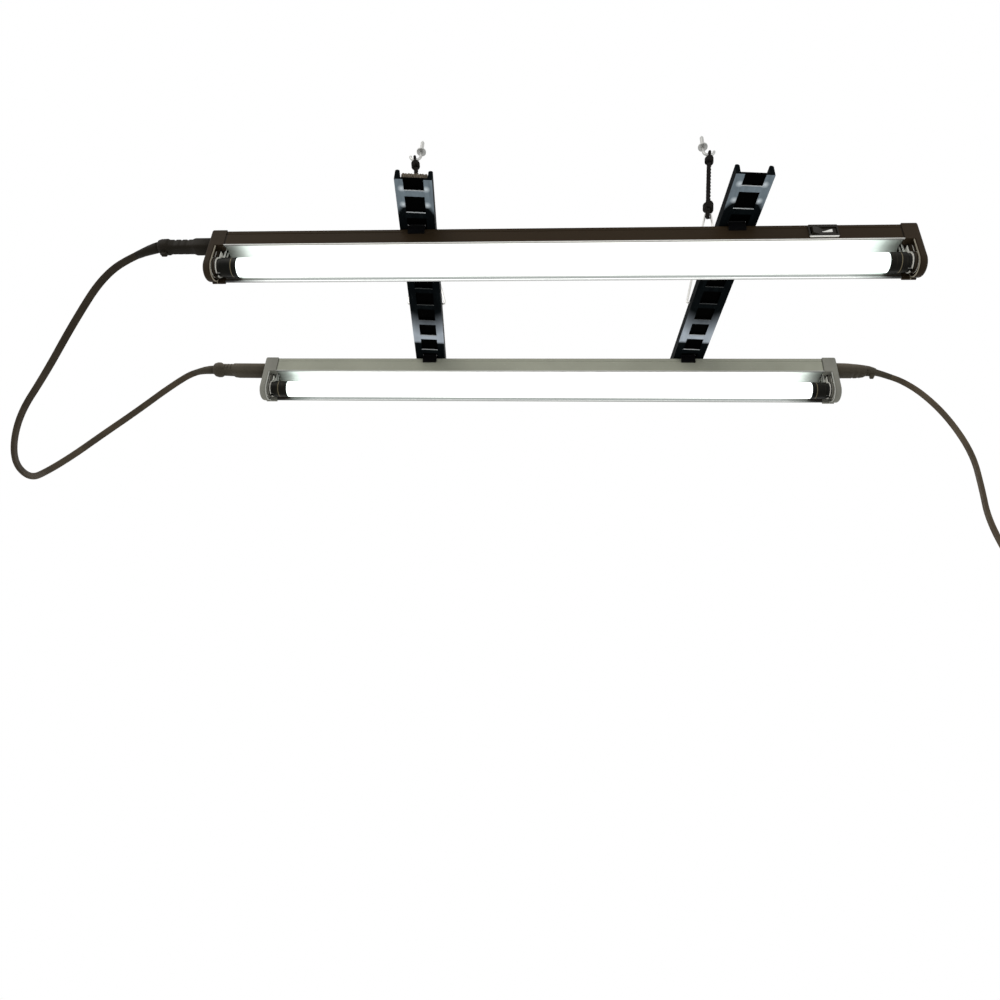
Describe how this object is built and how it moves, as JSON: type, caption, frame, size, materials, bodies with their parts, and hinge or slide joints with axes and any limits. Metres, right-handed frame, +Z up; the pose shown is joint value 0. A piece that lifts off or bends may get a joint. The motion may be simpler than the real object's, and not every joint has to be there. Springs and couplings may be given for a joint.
{
  "type": "strip light",
  "caption": "Pair of slim linked tube lights clipped under slotted crossbars that hang on cords from ceiling hooks, with rocker switch, link cord and coiled mains lead.",
  "frame": {"origin": "on the ceiling face, midway between the two ceiling hooks' loops, with the light hanging below it", "axes": "+X along the strips to the end with the switch and the mains lead, +Y from the near strip to the far one, +Z up"},
  "size_m": [0.9004, 0.2814, 0.6542],
  "materials": {
    "near_paint": "satin, dark umber",
    "far_paint": "satin, warm grey",
    "reflector_paint": "gloss white",
    "near_cap_plastic": "fine moulded grain",
    "far_cap_plastic": "fine moulded grain",
    "holder_plastic": "smooth moulded",
    "lamp_glass": "white coating inside clear glass, lit",
    "lamp_cap_metal": "dull",
    "socket_plastic": "smooth moulded",
    "circuit_board": "resin board",
    "wire_insulation": "extruded",
    "screw_steel": "plated",
    "switch_plastic": "smooth moulded",
    "rocker_plastic": "smooth moulded",
    "bar_paint": "gloss black",
    "clip_steel": "black coated spring steel",
    "bail_wire": "drawn wire",
    "rope_fibre": "twisted dark brown fibre",
    "hook_steel": "zinc plated",
    "plug_plastic": "soft moulded",
    "flex_jacket": "twin flex, smooth jacket",
    "tie_plastic": "smooth"
  },
  "bodies": {
    "hooks": {"ceiling_hook_left": "hook_steel", "ceiling_hook_right": "hook_steel"},
    "suspension": {"suspension_cord_left": "rope_fibre", "upper_knot_left": "rope_fibre", "lower_knot_left": "rope_fibre", "bail_left": "bail_wire", "suspension_cord_right": "rope_fibre", "upper_knot_right": "rope_fibre", "lower_knot_right": "rope_fibre", "bail_right": "bail_wire"},
    "near_lamp": {"near_lamp_glass": "lamp_glass", "near_lamp_cap_left": "lamp_cap_metal", "near_rotor_left": "holder_plastic", "near_lamp_cap_right": "lamp_cap_metal", "near_rotor_right": "holder_plastic"},
    "far_lamp": {"far_lamp_glass": "lamp_glass", "far_lamp_cap_left": "lamp_cap_metal", "far_rotor_left": "holder_plastic", "far_lamp_cap_right": "lamp_cap_metal", "far_rotor_right": "holder_plastic"},
    "rocker": {"rocker": "rocker_plastic"},
    "luminaire": {"near_shell": "near_paint", "near_reflector": "reflector_paint", "near_ballast": "circuit_board", "near_wires": "wire_insulation", "near_end_cap_left": "near_cap_plastic", "near_holder_left": "holder_plastic", "near_socket_left": "socket_plastic", "near_end_cap_right": "near_cap_plastic", "near_holder_right": "holder_plastic", "near_socket_right": "socket_plastic", "far_shell": "far_paint", "far_reflector": "reflector_paint", "far_ballast": "circuit_board", "far_wires": "wire_insulation", "far_end_cap_left": "far_cap_plastic", "far_holder_left": "holder_plastic", "far_socket_left": "socket_plastic", "far_end_cap_right": "far_cap_plastic", "far_holder_right": "holder_plastic", "far_socket_right": "socket_plastic", "holder_screws": "screw_steel", "switch_body": "switch_plastic", "bar_left": "bar_paint", "clip_near_left": "clip_steel", "clip_far_left": "clip_steel", "bar_right": "bar_paint", "clip_near_right": "clip_steel", "clip_far_right": "clip_steel", "link_plug_near": "plug_plastic", "link_plug_far": "plug_plastic", "link_cord": "flex_jacket", "mains_connector": "plug_plastic", "mains_cord": "flex_jacket", "mains_cord_coil": "flex_jacket", "coil_tie": "tie_plastic", "mains_plug": "plug_plastic"}
  },
  "joints": [
    {"name": "swing", "type": "hinge", "parent": "hooks", "child": "suspension", "pos_m": [0, 0, -0.014], "axis": [1, 0, 0], "range_deg": [-30, 30]},
    {"name": "luminaire_tilt", "type": "hinge", "parent": "suspension", "child": "luminaire", "pos_m": [0, 0, -0.2198], "axis": [1, 0, 0], "range_deg": [-50, 50]},
    {"name": "near_lamp_twist", "type": "hinge", "parent": "luminaire", "child": "near_lamp", "pos_m": [-0.0059, -0.08635, -0.26], "axis": [1, 0, 0], "range_deg": [0, 90]},
    {"name": "far_lamp_twist", "type": "hinge", "parent": "luminaire", "child": "far_lamp", "pos_m": [-0.0143, 0.07935, -0.26], "axis": [1, 0, 0], "range_deg": [0, 90]},
    {"name": "rocker_press", "type": "hinge", "parent": "luminaire", "child": "rocker", "pos_m": [0.2068, -0.0932, -0.2356], "axis": [0, 0, 1], "range_deg": [-14, 0]}
  ]
}
